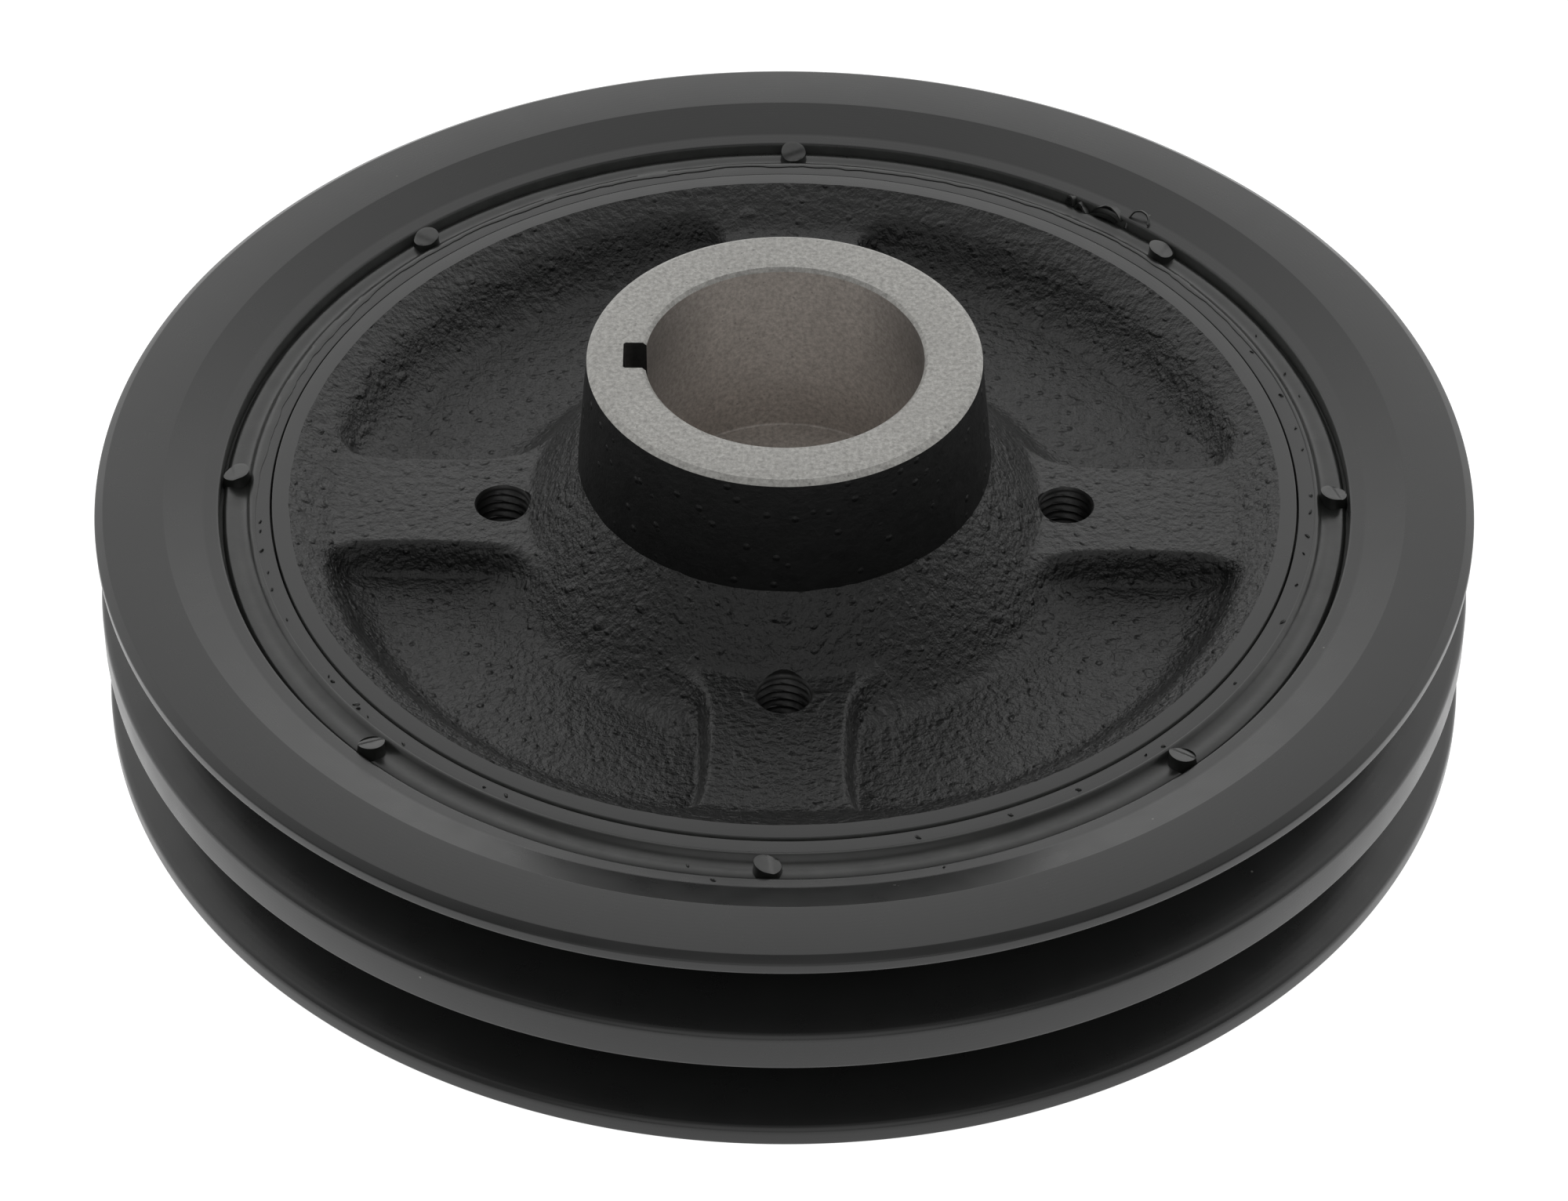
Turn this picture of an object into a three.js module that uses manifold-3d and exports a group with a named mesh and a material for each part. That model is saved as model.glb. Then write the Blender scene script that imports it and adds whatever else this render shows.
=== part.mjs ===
// Crankshaft damper pulley with two V grooves.
// A cast hub with a keyed bore carries a pressed steel sleeve. A rubber ring is bonded round the
// sleeve, and an outer pulley ring with two belt grooves is bonded round the rubber.
// Millimetres, +Z up. The origin is on the axis, in the plane of the pulley ring's lower edge.
import * as THREE from 'three';
import { mergeVertices } from 'three/addons/utils/BufferGeometryUtils.js';
import Module from 'manifold-3d';

// Driving dimensions
const ringRadius = 87.5;
const ringHeight = 31.9;
const grooveTopWidth = 10.6;
const grooveDepth = 11;
const grooveAngle = 36;
const grooveCentres = [8.4, 24.1];
const ringChamfer = 0.8;
const faceEdgeRadius = 86.4;
const faceEdgeHeight = 31.6;
const faceEdgeDrop = 0.6;
const ridgeRadius = 78.8;
const lipOuterRadius = 73.8;
const lipHeight = 30;

const fitGap = 0.3;
const hubOuterRadius = 65.1;
const sleeveWall = 2.4;
const rubberWall = 3.5;

const hubRimInnerRadius = 63;
const hubFaceHeight = 30.1;
const hubBottom = 1;
const sleeveHeight = 29.6;
const sleeveBottom = 1.5;
const rubberBottom = 3.5;
const rubberHeight = 28.9;
const rubberSlope = 0.5;
const rubberGapWidth = 0.8;
const rubberGapFloor = 25.9;
const stubCount = 8;
const stubRadius = 1.5;
const stubCircleRadius = 69.9;
const stubHeight = 30.7;
const patternTurn = -1;

const bossHeight = 51;
const bossTopRadius = 24.8;
const bossBaseRadius = 26.2;
const bossBaseHeight = 34.8;
const bossChamfer = 0.9;
const boreRadius = 17.5;
const boreChamfer = 0.5;
const shelfHeight = 25.4;
const boltHoleRadius = 10.5;
const boltSeatHeight = 9;
const boltSeatRadius = 21;
const boltSeatChamfer = 1.5;
const keyWidth = 5;
const keyDepth = 2.7;

const padHeight = 26.6;
const padWidth = 16.8;
const padDraft = 0.9;
const padInnerRadius = 29;
const padOuterRadius = 60;
const padDepth = 12;
const pocketFloor = 21.8;
const webUnderside = 12.5;
const webRecessRadius = 54;
const rimInnerRadius = 57.5;
const rimSlopeRadius = 57;
const pocketOuterRadius = 52.5;
const pocketInnerRadius = 37.2;
const coneFootRadius = 33;
const pullerCircleRadius = 36;
const pullerHoleRadius = 3.4;

const ringSegments = 72;
const holeSegments = 16;
const stubSegments = 10;
const quarter = Math.PI / 2;

const wasm = await Module();
wasm.setup();

// A solid of revolution about Z from a closed outline of [radius, height] points.
function revolve(outline) {
  const closed = [...outline, outline[0]].map(([radius, height]) => new THREE.Vector2(radius, height));
  return new THREE.LatheGeometry(closed, ringSegments).rotateX(quarter);
}

// A closed three.js geometry as a solid that can be joined and cut.
function toSolid(geometry) {
  const bare = geometry.clone();
  bare.deleteAttribute('normal');
  bare.deleteAttribute('uv');
  const merged = mergeVertices(bare);
  const vertProperties = new Float32Array(merged.attributes.position.array);
  const triVerts = new Uint32Array(merged.index.array);
  return new wasm.Manifold(new wasm.Mesh({ numProp: 3, vertProperties, triVerts }));
}

function toGeometry(solid) {
  const mesh = solid.getMesh();
  const geometry = new THREE.BufferGeometry();
  geometry.setAttribute('position', new THREE.BufferAttribute(mesh.vertProperties, mesh.numProp));
  geometry.setIndex(new THREE.BufferAttribute(mesh.triVerts, 1));
  geometry.computeVertexNormals();
  return geometry;
}

// An upright round bar centred on [x, y] between two heights.
function upright(radius, bottom, top, x, y, segments) {
  const bar = new THREE.CylinderGeometry(radius, radius, top - bottom, segments);
  return toSolid(bar.rotateX(quarter).translate(x, y, (bottom + top) / 2));
}

// The four walls of one belt groove, from its lower edge to its upper edge.
function grooveOutline(centre) {
  const halfTop = grooveTopWidth / 2;
  const halfFloor = halfTop - grooveDepth * Math.tan(THREE.MathUtils.degToRad(grooveAngle / 2));
  const floorRadius = ringRadius - grooveDepth;
  return [
    [ringRadius, centre - halfTop],
    [floorRadius, centre - halfFloor],
    [floorRadius, centre + halfFloor],
    [ringRadius, centre + halfTop],
  ];
}

function pulleyRing() {
  const innerRadius = hubOuterRadius + sleeveWall + rubberWall + 3 * fitGap;
  return revolve([
    [innerRadius, ringChamfer],
    [innerRadius + ringChamfer, 0],
    [ringRadius - ringChamfer, 0],
    [ringRadius, ringChamfer],
    ...grooveCentres.flatMap(grooveOutline),
    [ringRadius, faceEdgeHeight - faceEdgeDrop],
    [faceEdgeRadius, faceEdgeHeight],
    [ridgeRadius, ringHeight],
    [lipOuterRadius, lipHeight],
    [innerRadius, lipHeight],
  ]);
}

function innerSleeve() {
  const innerRadius = hubOuterRadius + fitGap;
  const outerRadius = innerRadius + sleeveWall;
  return revolve([
    [innerRadius, sleeveBottom],
    [outerRadius, sleeveBottom],
    [outerRadius, sleeveHeight],
    [innerRadius, sleeveHeight],
  ]);
}

// The rubber ring, with a narrow gap left open at the outer ring and eight moulding stubs on top.
function rubberRing() {
  const innerRadius = hubOuterRadius + sleeveWall + 2 * fitGap;
  const outerRadius = innerRadius + rubberWall;
  const topOuterRadius = outerRadius - rubberGapWidth;
  let solid = toSolid(revolve([
    [innerRadius, rubberBottom],
    [outerRadius, rubberBottom],
    [outerRadius, rubberGapFloor],
    [topOuterRadius, rubberGapFloor],
    [topOuterRadius, rubberHeight],
    [innerRadius + rubberSlope, rubberHeight],
    [innerRadius, rubberHeight + rubberSlope],
  ]));
  for (let index = 0; index < stubCount; index += 1) {
    const angle = THREE.MathUtils.degToRad(patternTurn + index * 360 / stubCount);
    const x = stubCircleRadius * Math.cos(angle);
    const y = stubCircleRadius * Math.sin(angle);
    solid = solid.add(upright(stubRadius, rubberHeight - 2, stubHeight, x, y, stubSegments));
  }
  return toGeometry(solid);
}

// The hub casting turned from one outline: keyed boss, cone, dished web and machined rim.
function hubBody() {
  return toSolid(revolve([
    [boltHoleRadius, boltSeatHeight],
    [boltSeatRadius, boltSeatHeight],
    [boltSeatRadius + boltSeatChamfer, webUnderside],
    [webRecessRadius, webUnderside],
    [rimInnerRadius, hubBottom],
    [hubOuterRadius, hubBottom],
    [hubOuterRadius, hubFaceHeight],
    [hubRimInnerRadius, hubFaceHeight],
    [rimSlopeRadius, padHeight],
    [pocketOuterRadius, pocketFloor],
    [pocketInnerRadius, pocketFloor],
    [coneFootRadius, padHeight],
    [bossBaseRadius, bossBaseHeight],
    [bossTopRadius, bossHeight - bossChamfer / 2],
    [bossTopRadius - bossChamfer, bossHeight],
    [boreRadius + boreChamfer, bossHeight],
    [boreRadius, bossHeight - boreChamfer],
    [boreRadius, shelfHeight],
    [boltHoleRadius, shelfHeight],
  ]));
}

// One raised pad that runs from the cone to the rim, with drafted sides.
function pad(turn) {
  const halfTop = padWidth / 2;
  const section = new THREE.Shape([
    new THREE.Vector2(-halfTop - padDraft, -padDepth),
    new THREE.Vector2(halfTop + padDraft, -padDepth),
    new THREE.Vector2(halfTop, 0),
    new THREE.Vector2(-halfTop, 0),
  ]);
  const length = padOuterRadius - padInnerRadius;
  const block = new THREE.ExtrudeGeometry(section, { depth: length, bevelEnabled: false });
  block.rotateX(quarter).rotateZ(quarter).translate(padInnerRadius, 0, padHeight);
  return toSolid(block.rotateZ(turn));
}

function keyway() {
  const reach = boreRadius + keyDepth;
  const cutTop = bossHeight + 1;
  const slot = new THREE.BoxGeometry(reach, keyWidth, cutTop - shelfHeight);
  return toSolid(slot.translate(-reach / 2, 0, (shelfHeight + cutTop) / 2));
}

function hub() {
  let solid = hubBody();
  for (let index = 0; index < 4; index += 1) {
    const holeAngle = index * quarter;
    const x = pullerCircleRadius * Math.cos(holeAngle);
    const y = pullerCircleRadius * Math.sin(holeAngle);
    solid = solid.add(pad(holeAngle + THREE.MathUtils.degToRad(patternTurn)));
    const hole = upright(pullerHoleRadius, webUnderside - 1, bossBaseHeight, x, y, holeSegments);
    solid = solid.subtract(hole);
  }
  return toGeometry(solid.subtract(keyway()));
}

const finishes = {
  bareIron: new THREE.MeshStandardMaterial({ color: 0x1d1e1e, roughness: 0.5, metalness: 0.2 }),
  sleeveSteel: new THREE.MeshStandardMaterial({ color: 0x3a3c3b, roughness: 0.45, metalness: 0.3 }),
  rubber: new THREE.MeshStandardMaterial({ color: 0x2e302d, roughness: 0.75, metalness: 0 }),
  satinPaint: new THREE.MeshStandardMaterial({ color: 0x26282a, roughness: 0.4, metalness: 0.1 }),
};

function named(name, geometry, material) {
  const mesh = new THREE.Mesh(geometry, material);
  mesh.name = name;
  return mesh;
}

const damperPulley = new THREE.Group();
damperPulley.add(named('hub', hub(), finishes.bareIron));
damperPulley.add(named('inner_sleeve', innerSleeve(), finishes.sleeveSteel));
damperPulley.add(named('rubber_ring', rubberRing(), finishes.rubber));
damperPulley.add(named('pulley_ring', pulleyRing(), finishes.satinPaint));

export default damperPulley;
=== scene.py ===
import math

import bmesh
import bpy
import numpy as np
from mathutils import Matrix, Vector


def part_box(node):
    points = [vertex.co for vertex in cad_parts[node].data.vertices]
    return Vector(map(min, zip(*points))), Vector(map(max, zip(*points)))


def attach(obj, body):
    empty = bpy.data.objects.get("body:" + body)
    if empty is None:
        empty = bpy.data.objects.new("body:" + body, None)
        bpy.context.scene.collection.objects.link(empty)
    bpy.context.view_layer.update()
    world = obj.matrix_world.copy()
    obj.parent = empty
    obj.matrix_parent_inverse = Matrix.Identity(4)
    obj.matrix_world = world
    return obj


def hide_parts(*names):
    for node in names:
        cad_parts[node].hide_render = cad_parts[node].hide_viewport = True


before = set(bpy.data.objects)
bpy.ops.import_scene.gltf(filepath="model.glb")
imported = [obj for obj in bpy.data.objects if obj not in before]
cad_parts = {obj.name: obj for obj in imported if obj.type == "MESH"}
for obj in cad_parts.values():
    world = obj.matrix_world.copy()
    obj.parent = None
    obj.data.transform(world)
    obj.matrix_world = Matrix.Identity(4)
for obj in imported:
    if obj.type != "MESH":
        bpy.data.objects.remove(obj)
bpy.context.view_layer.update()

MM = 0.001

# Sizes from the frame
_, RING_HIGH = (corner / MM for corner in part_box("pulley_ring"))
HUB_LOW, HUB_HIGH = (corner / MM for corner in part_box("hub"))
SLEEVE_LOW, SLEEVE_HIGH = (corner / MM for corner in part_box("inner_sleeve"))
RUBBER_LOW, RUBBER_HIGH = (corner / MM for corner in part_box("rubber_ring"))
RING_RADIUS = RING_HIGH.x
RING_TOP = RING_HIGH.z
HUB_RADIUS = HUB_HIGH.x
BOSS_TOP = HUB_HIGH.z
HUB_BOTTOM = HUB_LOW.z
SLEEVE_RADIUS = SLEEVE_HIGH.x
SLEEVE_RISE = 0.15
SLEEVE_TOP = SLEEVE_HIGH.z + SLEEVE_RISE
SLEEVE_BOTTOM = SLEEVE_LOW.z
RUBBER_BOTTOM = RUBBER_LOW.z
STUB_TOP = RUBBER_HIGH.z

# Outer ring
GROOVE_TOP_WIDTH = 10.6
GROOVE_DEPTH = 11.0
GROOVE_HALF_ANGLE = math.radians(18)
GROOVE_CENTRES = (8.4, 24.1)
RING_INNER_RADIUS = 71.9
RING_CHAMFER = 0.8
LIP_OUTER_RADIUS = 73.8
LIP_HEIGHT = 30.0
LIP_SLOPE = 0.16
RIDGE_RADIUS = 78.8
FACE_EDGE_RADIUS = 86.4
FACE_EDGE_HEIGHT = 31.6
FACE_EDGE_DROP = 0.7

# Joint between hub and sleeve: open near the top, pressed together below
JOINT_WIDTH = 0.3
JOINT_DEPTH = 2.0
PRESS_RADIUS = HUB_RADIUS + 0.03

# Hub
HUB_FACE = 30.1
HUB_RIM_INNER_RADIUS = 63.0
RIM_SLOPE_RADIUS = 57.0
RIM_SLOPE = math.radians(30)
RIM_FILLET = 2.0
POCKET_RADIUS = 59.5
POCKET_SLOPE = math.radians(43)
PAD_SLOPE = math.radians(83)
PAD_HEIGHT = 26.6
PAD_HALF_WIDTH = 8.8
PATTERN_TURN = math.radians(-1)
CORNER_BLEND = 3.0
CONE_FOOT_RADIUS = 33.0
CONE_SLOPE = math.radians(50.3)
CONE_FILLET = 1.5
POCKET_FLOOR = 21.8
BOSS_BASE_RADIUS = 26.2
BOSS_BASE_HEIGHT = 34.8
BOSS_TOP_RADIUS = 24.8
BORE_RADIUS = 17.5
SHELF_HEIGHT = 25.4
BOLT_HOLE_RADIUS = 10.5
BOLT_SEAT_HEIGHT = 9.0
BOLT_SEAT_RADIUS = 21.0
BOLT_SEAT_SLOPE = 1.5
WEB_UNDERSIDE = 12.5
WEB_RECESS_RADIUS = 54.0
RIM_FOOT_RADIUS = 57.5
RIM_FLARE = 0.05
RIM_EDGE_DROP = 0.12
BOSS_CHAMFER = 0.8
BOSS_CHAMFER_HEIGHT = 0.5
BORE_CHAMFER = 0.45
KEY_WIDTH = 5.0
KEY_DEPTH = 2.7
PULLER_CIRCLE_RADIUS = 36.0
THREAD_PITCH = 1.25
THREAD_CREST_RADIUS = 3.35
THREAD_ROOT_RADIUS = 3.9
THREAD_START = 0.6
THREAD_ROWS_PER_TURN = 6
MOUTH_CHAMFER = 0.3

# Rubber
RUBBER_HEIGHT = 28.9
RUBBER_OUTER_RADIUS = 71.93
STUB_COUNT = 8
STUB_CIRCLE_RADIUS = 69.9
STUB_RADIUS = 1.7
FLASH_EDGE_RADIUS = 66.75
FLASH_THICKNESS = 0.12
# Degrees round the axis where the film of flash begins, is full, begins to fade and ends
FILM_DEGREES = (20, 32, 172, 190)
# Where scraps lie, as degrees round the axis
CRUMB_DEGREES = (5, 10, 17, 24, 185, 188, 192, 196, 199, 204, 212, 215, 218, 220, 221, 228, 238, 241,
                 284, 295, 301, 312, 314, 325, 338, 344, 348, 352, 355, 358)
# Each curl's points as degrees, radius and height, then its width and thickness
FLASH_CURLS = (
    (((50.2, 71.6, 28.7), (50.3, 72.3, 29.8), (49.9, 73.0, 30.9), (49.2, 73.4, 31.2), (48.5, 73.5, 30.9),
      (48.0, 73.1, 30.5), (47.8, 72.4, 30.3)), 0.36, 0.20),
    (((54.8, 71.5, 28.6), (54.2, 72.0, 29.7), (53.3, 72.6, 30.2), (52.4, 72.6, 30.3), (51.5, 72.2, 30.1),
      (50.8, 71.8, 29.4)), 1.1, 0.16),
    (((54.6, 71.0, 28.8), (53.6, 71.3, 29.3), (52.4, 71.5, 29.4), (51.4, 71.5, 29.0)), 0.8, 0.3),
    (((56.6, 70.9, 28.7), (56.1, 71.4, 29.8), (55.5, 71.3, 29.3), (54.9, 70.8, 28.9)), 1.0, 0.3),
    (((58.0, 71.4, 28.6), (57.6, 71.9, 29.8), (57.0, 71.7, 30.0), (56.7, 71.2, 29.0)), 0.9, 0.25),
)
# Degrees, radius, height and size
STRAY_CRUMBS = (
    (263.5, 72.9, 30.0, 0.45), (260.7, 69.9, 29.0, 0.40), (285.2, 72.6, 30.0, 0.22),
    (280.3, 75.0, 30.4, 0.50), (16.0, 69.6, 28.95, 0.25), (20.0, 69.5, 28.95, 0.30),
    (27.0, 69.6, 28.95, 0.25),
)

# Mesh fineness
RING_COLUMNS = 360
DISH_STEP = 0.60
WALL_STEP = 0.95
BACK_STEP = 2.2


# ---------------------------------------------------------------- shape helpers

def lattice_noise(points, size, seed):
    """Smooth noise from -1 to 1 whose bumps are about size across, at an array of points."""
    scaled = points / size
    cell = np.floor(scaled).astype(np.int64)
    part = scaled - cell
    part = part * part * (3 - 2 * part)
    total = np.zeros(len(points))
    for corner in np.ndindex(2, 2, 2):
        index = cell + np.array(corner)
        mixed = index[:, 0] * 73856093 ^ index[:, 1] * 19349663 ^ index[:, 2] * 83492791 ^ seed * 2654435761
        mixed = (mixed ^ mixed >> 13) * 1274126177 & 0xFFFFFFFF
        value = (mixed ^ mixed >> 16) / 0x80000000 - 1
        total += value * np.prod(np.where(corner, part, 1 - part), axis=1)
    return total


def rounded_outline(corners, steps_by_name=None):
    """Points (radius, height) and surface names along a closed outline.

    A corner is (radius, height, fillet radius, name of the surface that follows it). Stretches whose
    name is in steps_by_name get a point every such step, so that they can be made rough.
    """
    points, names = [], []
    count = len(corners)
    for index, (radius, height, fillet, name) in enumerate(corners):
        here = Vector((radius, height))
        before = Vector(corners[index - 1][:2]) - here
        after = Vector(corners[(index + 1) % count][:2]) - here
        previous_name = corners[index - 1][3]
        if fillet <= 0:
            points.append(here)
            names.append(name)
            continue
        turn = before.angle(after)
        reach = min(fillet / math.tan(turn / 2), 0.48 * before.length, 0.48 * after.length)
        start = here + before.normalized() * reach
        end = here + after.normalized() * reach
        steps = max(2, math.ceil((math.pi - turn) / math.radians(14)))
        for step in range(steps + 1):
            share = step / steps
            first = start.lerp(here, share)
            second = here.lerp(end, share)
            points.append(first.lerp(second, share))
            names.append(previous_name if share < 0.5 else name)
    if steps_by_name is None:
        return points, names
    fine_points, fine_names = [], []
    for index, (point, name) in enumerate(zip(points, names)):
        following = points[(index + 1) % len(points)]
        pieces = max(1, round((following - point).length / steps_by_name.get(name, math.inf)))
        for piece in range(pieces):
            fine_points.append(point.lerp(following, piece / pieces))
            fine_names.append(name)
    return fine_points, fine_names


def even_angles(columns):
    return np.arange(columns) * 2 * math.pi / columns


def revolve(points, angles):
    """A grid of vertices, rows by columns by 3, from outline points turned about Z."""
    radii = np.array([point[0] for point in points])[:, None]
    heights = np.array([point[1] for point in points])[:, None]
    grid = np.empty((len(points), len(angles), 3))
    grid[..., 0] = radii * np.cos(angles)
    grid[..., 1] = radii * np.sin(angles)
    grid[..., 2] = heights
    return grid


def ring_faces(rows, columns):
    """Quads of a grid that closes on itself both ways."""
    index = np.arange(rows * columns).reshape(rows, columns)
    below = np.roll(index, -1, axis=0)
    corners = [index, np.roll(index, -1, axis=1), np.roll(below, -1, axis=1), below]
    return np.stack(corners, axis=-1).reshape(-1, 4)


def tube_faces(rows, sides):
    """Quads of a closed tube whose vertices come row by row, and its two end faces."""
    faces = []
    for row in range(rows - 1):
        for side in range(sides):
            following = (side + 1) % sides
            faces.append([row * sides + side, row * sides + following,
                          (row + 1) * sides + following, (row + 1) * sides + side])
    faces.append([(rows - 1) * sides + side for side in range(sides)])
    faces.append(list(reversed(range(sides))))
    return faces


def grid_normals(grid):
    """Unit normals of a grid that closes on itself both ways."""
    along_row = np.roll(grid, -1, axis=1) - np.roll(grid, 1, axis=1)
    along_column = np.roll(grid, -1, axis=0) - np.roll(grid, 1, axis=0)
    normals = np.cross(along_row, along_column)
    return normals / np.maximum(np.linalg.norm(normals, axis=-1, keepdims=True), 1e-9)


def build_mesh(name, vertices, faces, materials, face_materials=None):
    """A closed object from millimetre vertices, with its faces turned outwards."""
    mesh = bpy.data.meshes.new(name)
    mesh.from_pydata((np.asarray(vertices) * MM).tolist(), [], [list(face) for face in faces])
    for material in materials:
        mesh.materials.append(material)
    if face_materials is not None:
        mesh.polygons.foreach_set("material_index", np.asarray(face_materials, dtype=np.int32))
    work = bmesh.new()
    work.from_mesh(mesh)
    if work.calc_volume(signed=True) < 0:
        bmesh.ops.reverse_faces(work, faces=work.faces)
    work.to_mesh(mesh)
    work.free()
    piece = bpy.data.objects.new(name, mesh)
    bpy.context.scene.collection.objects.link(piece)
    return piece


def shade_smooth(piece, sharp_angle=35):
    """Smooth shading that stays crisp at sharp angles and where one surface finish meets another."""
    work = bmesh.new()
    work.from_mesh(piece.data)
    limit = math.radians(sharp_angle)
    for edge in work.edges:
        first, second = edge.link_faces
        edge.smooth = first.material_index == second.material_index and edge.calc_face_angle(0) < limit
    for face in work.faces:
        face.smooth = True
    work.to_mesh(piece.data)
    work.free()


def cut(piece, cutters):
    """Takes closed cutter objects out of a closed piece."""
    for cutter in cutters:
        modifier = piece.modifiers.new("cut", "BOOLEAN")
        modifier.operation = "DIFFERENCE"
        modifier.solver = "MANIFOLD"
        modifier.object = cutter
    graph = bpy.context.evaluated_depsgraph_get()
    result = bpy.data.meshes.new_from_object(piece.evaluated_get(graph))
    piece.modifiers.clear()
    piece.data = result
    for cutter in cutters:
        bpy.data.objects.remove(cutter)


def turned_ring(name, corners, materials):
    """A ring turned from one outline; materials are in the order paint, joint."""
    points, surfaces = rounded_outline(corners)
    grid = revolve(points, even_angles(RING_COLUMNS))
    face_materials = np.repeat([int(surface == "joint") for surface in surfaces], RING_COLUMNS)
    faces = ring_faces(len(points), RING_COLUMNS)
    piece = build_mesh(name, grid.reshape(-1, 3), faces, materials, face_materials)
    shade_smooth(piece)
    return piece


# ---------------------------------------------------------------- material helpers

RANGE_SOCKETS = ("From Min", "From Max", "To Min", "To Max")


class Nodes:
    """Short calls for a material's node tree."""

    def __init__(self, name):
        self.material = bpy.data.materials.new(name)
        self.material.use_nodes = True
        self.tree = self.material.node_tree
        self.shader = self.tree.nodes["Principled BSDF"]
        self.position = self.add("ShaderNodeTexCoord").outputs["Object"]

    def add(self, kind, **settings):
        node = self.tree.nodes.new(kind)
        for key, value in settings.items():
            setattr(node, key, value)
        return node

    def link(self, source, target):
        self.tree.links.new(source, target)

    def noise(self, size, detail=2.0, roughness=0.5):
        """Noise with bumps of about size millimetres."""
        node = self.add("ShaderNodeTexNoise")
        node.inputs["Scale"].default_value = 1 / (size * MM)
        node.inputs["Detail"].default_value = detail
        node.inputs["Roughness"].default_value = roughness
        self.link(self.position, node.inputs["Vector"])
        return node.outputs["Fac"]

    def cells(self, size, feature="F1"):
        """Distance to scattered points about size millimetres apart."""
        node = self.add("ShaderNodeTexVoronoi", feature=feature)
        node.inputs["Scale"].default_value = 1 / (size * MM)
        self.link(self.position, node.inputs["Vector"])
        return node.outputs["Distance"]

    def math(self, operation, first, second=None, third=None):
        node = self.add("ShaderNodeMath", operation=operation)
        for socket, value in zip(node.inputs, (first, second, third)):
            if value is None:
                continue
            if isinstance(value, (int, float)):
                socket.default_value = value
            else:
                self.link(value, socket)
        return node.outputs[0]

    def remap(self, value, low, high, new_low, new_high):
        node = self.add("ShaderNodeMapRange")
        self.link(value, node.inputs["Value"])
        for key, number in zip(RANGE_SOCKETS, (low, high, new_low, new_high)):
            node.inputs[key].default_value = number
        return node.outputs["Result"]

    def mix(self, share, first, second):
        """Mixes two colours, each an RGB triple or a socket."""
        node = self.add("ShaderNodeMix", data_type="RGBA")
        self.link(share, node.inputs["Factor"])
        for socket, value in zip((node.inputs[6], node.inputs[7]), (first, second)):
            if isinstance(value, tuple):
                socket.default_value = (*value, 1)
            else:
                self.link(value, socket)
        return node.outputs[2]

    def split_position(self):
        """The position's x, y and z, in metres."""
        split = self.add("ShaderNodeSeparateXYZ")
        self.link(self.position, split.inputs[0])
        return split.outputs

    def radius(self):
        """Distance from the pulley's axis, in millimetres."""
        x, y, _ = self.split_position()
        squares = self.math("MULTIPLY_ADD", x, x, self.math("MULTIPLY", y, y))
        return self.math("MULTIPLY", self.math("SQRT", squares), 1 / MM)

    def sideways(self):
        """Distance to the left or right of the axis, in millimetres."""
        x, _, _ = self.split_position()
        return self.math("MULTIPLY", self.math("ABSOLUTE", x), 1 / MM)

    def height(self):
        """Height above the ring's lower edge, in millimetres."""
        _, _, z = self.split_position()
        return self.math("MULTIPLY", z, 1 / MM)

    def turned(self, spacing, waviness):
        """Fine lines round the axis, spacing millimetres apart, as a cutting tool leaves them."""
        place = self.math("ADD", self.radius(), self.height())
        place = self.math("MULTIPLY_ADD", self.noise(9), waviness, place)
        return self.math("SINE", self.math("MULTIPLY", place, 2 * math.pi / spacing))

    def bump(self, height, depth, before=None):
        """Bump of depth millimetres for a height from 0 to 1."""
        node = self.add("ShaderNodeBump")
        node.inputs["Strength"].default_value = 1
        node.inputs["Distance"].default_value = depth * MM
        self.link(height, node.inputs["Height"])
        if before is not None:
            self.link(before, node.inputs["Normal"])
        return node.outputs["Normal"]

    def finish(self, colour, roughness, normal):
        self.link(colour, self.shader.inputs["Base Color"])
        self.link(roughness, self.shader.inputs["Roughness"])
        self.link(normal, self.shader.inputs["Normal"])
        return self.material


def satin_black_paint():
    """Thin satin paint over turned iron, with a faint tool pattern and a little dust."""
    nodes = Nodes("satin_black_paint")
    dust = nodes.remap(nodes.cells(9), 0.012, 0.020, 1, 0)
    tone = nodes.mix(nodes.noise(24, 3), (0.0070, 0.0073, 0.0073), (0.0105, 0.0108, 0.0106))
    colour = nodes.mix(dust, tone, (0.12, 0.12, 0.11))
    roughness = nodes.remap(nodes.noise(5, 4), 0.3, 0.7, 0.26, 0.32)
    normal = nodes.bump(nodes.noise(0.8, 3), 0.0022)
    normal = nodes.bump(nodes.turned(0.55, 0.25), 0.0007, normal)
    return nodes.finish(colour, roughness, normal)


def rough_cast_paint():
    """Black paint over sand-cast iron: sand grains, small lumps and scabs."""
    nodes = Nodes("rough_cast_paint")
    grain = nodes.noise(0.48, 3, 0.6)
    lumps = nodes.noise(1.15, 2, 0.5)
    scabs = nodes.remap(nodes.cells(1.9, "SMOOTH_F1"), 0.10, 0.26, 1, 0)
    tone = nodes.mix(nodes.noise(1.8, 4, 0.6), (0.0045, 0.0047, 0.0047), (0.0105, 0.0107, 0.0104))
    roughness = nodes.remap(nodes.noise(1.4, 3), 0.3, 0.7, 0.32, 0.44)
    normal = nodes.bump(grain, 0.21)
    normal = nodes.bump(lumps, 0.364, normal)
    normal = nodes.bump(scabs, 0.182, normal)
    nodes.shader.inputs["Specular IOR Level"].default_value = 0.42
    return nodes.finish(tone, roughness, normal)


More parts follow.
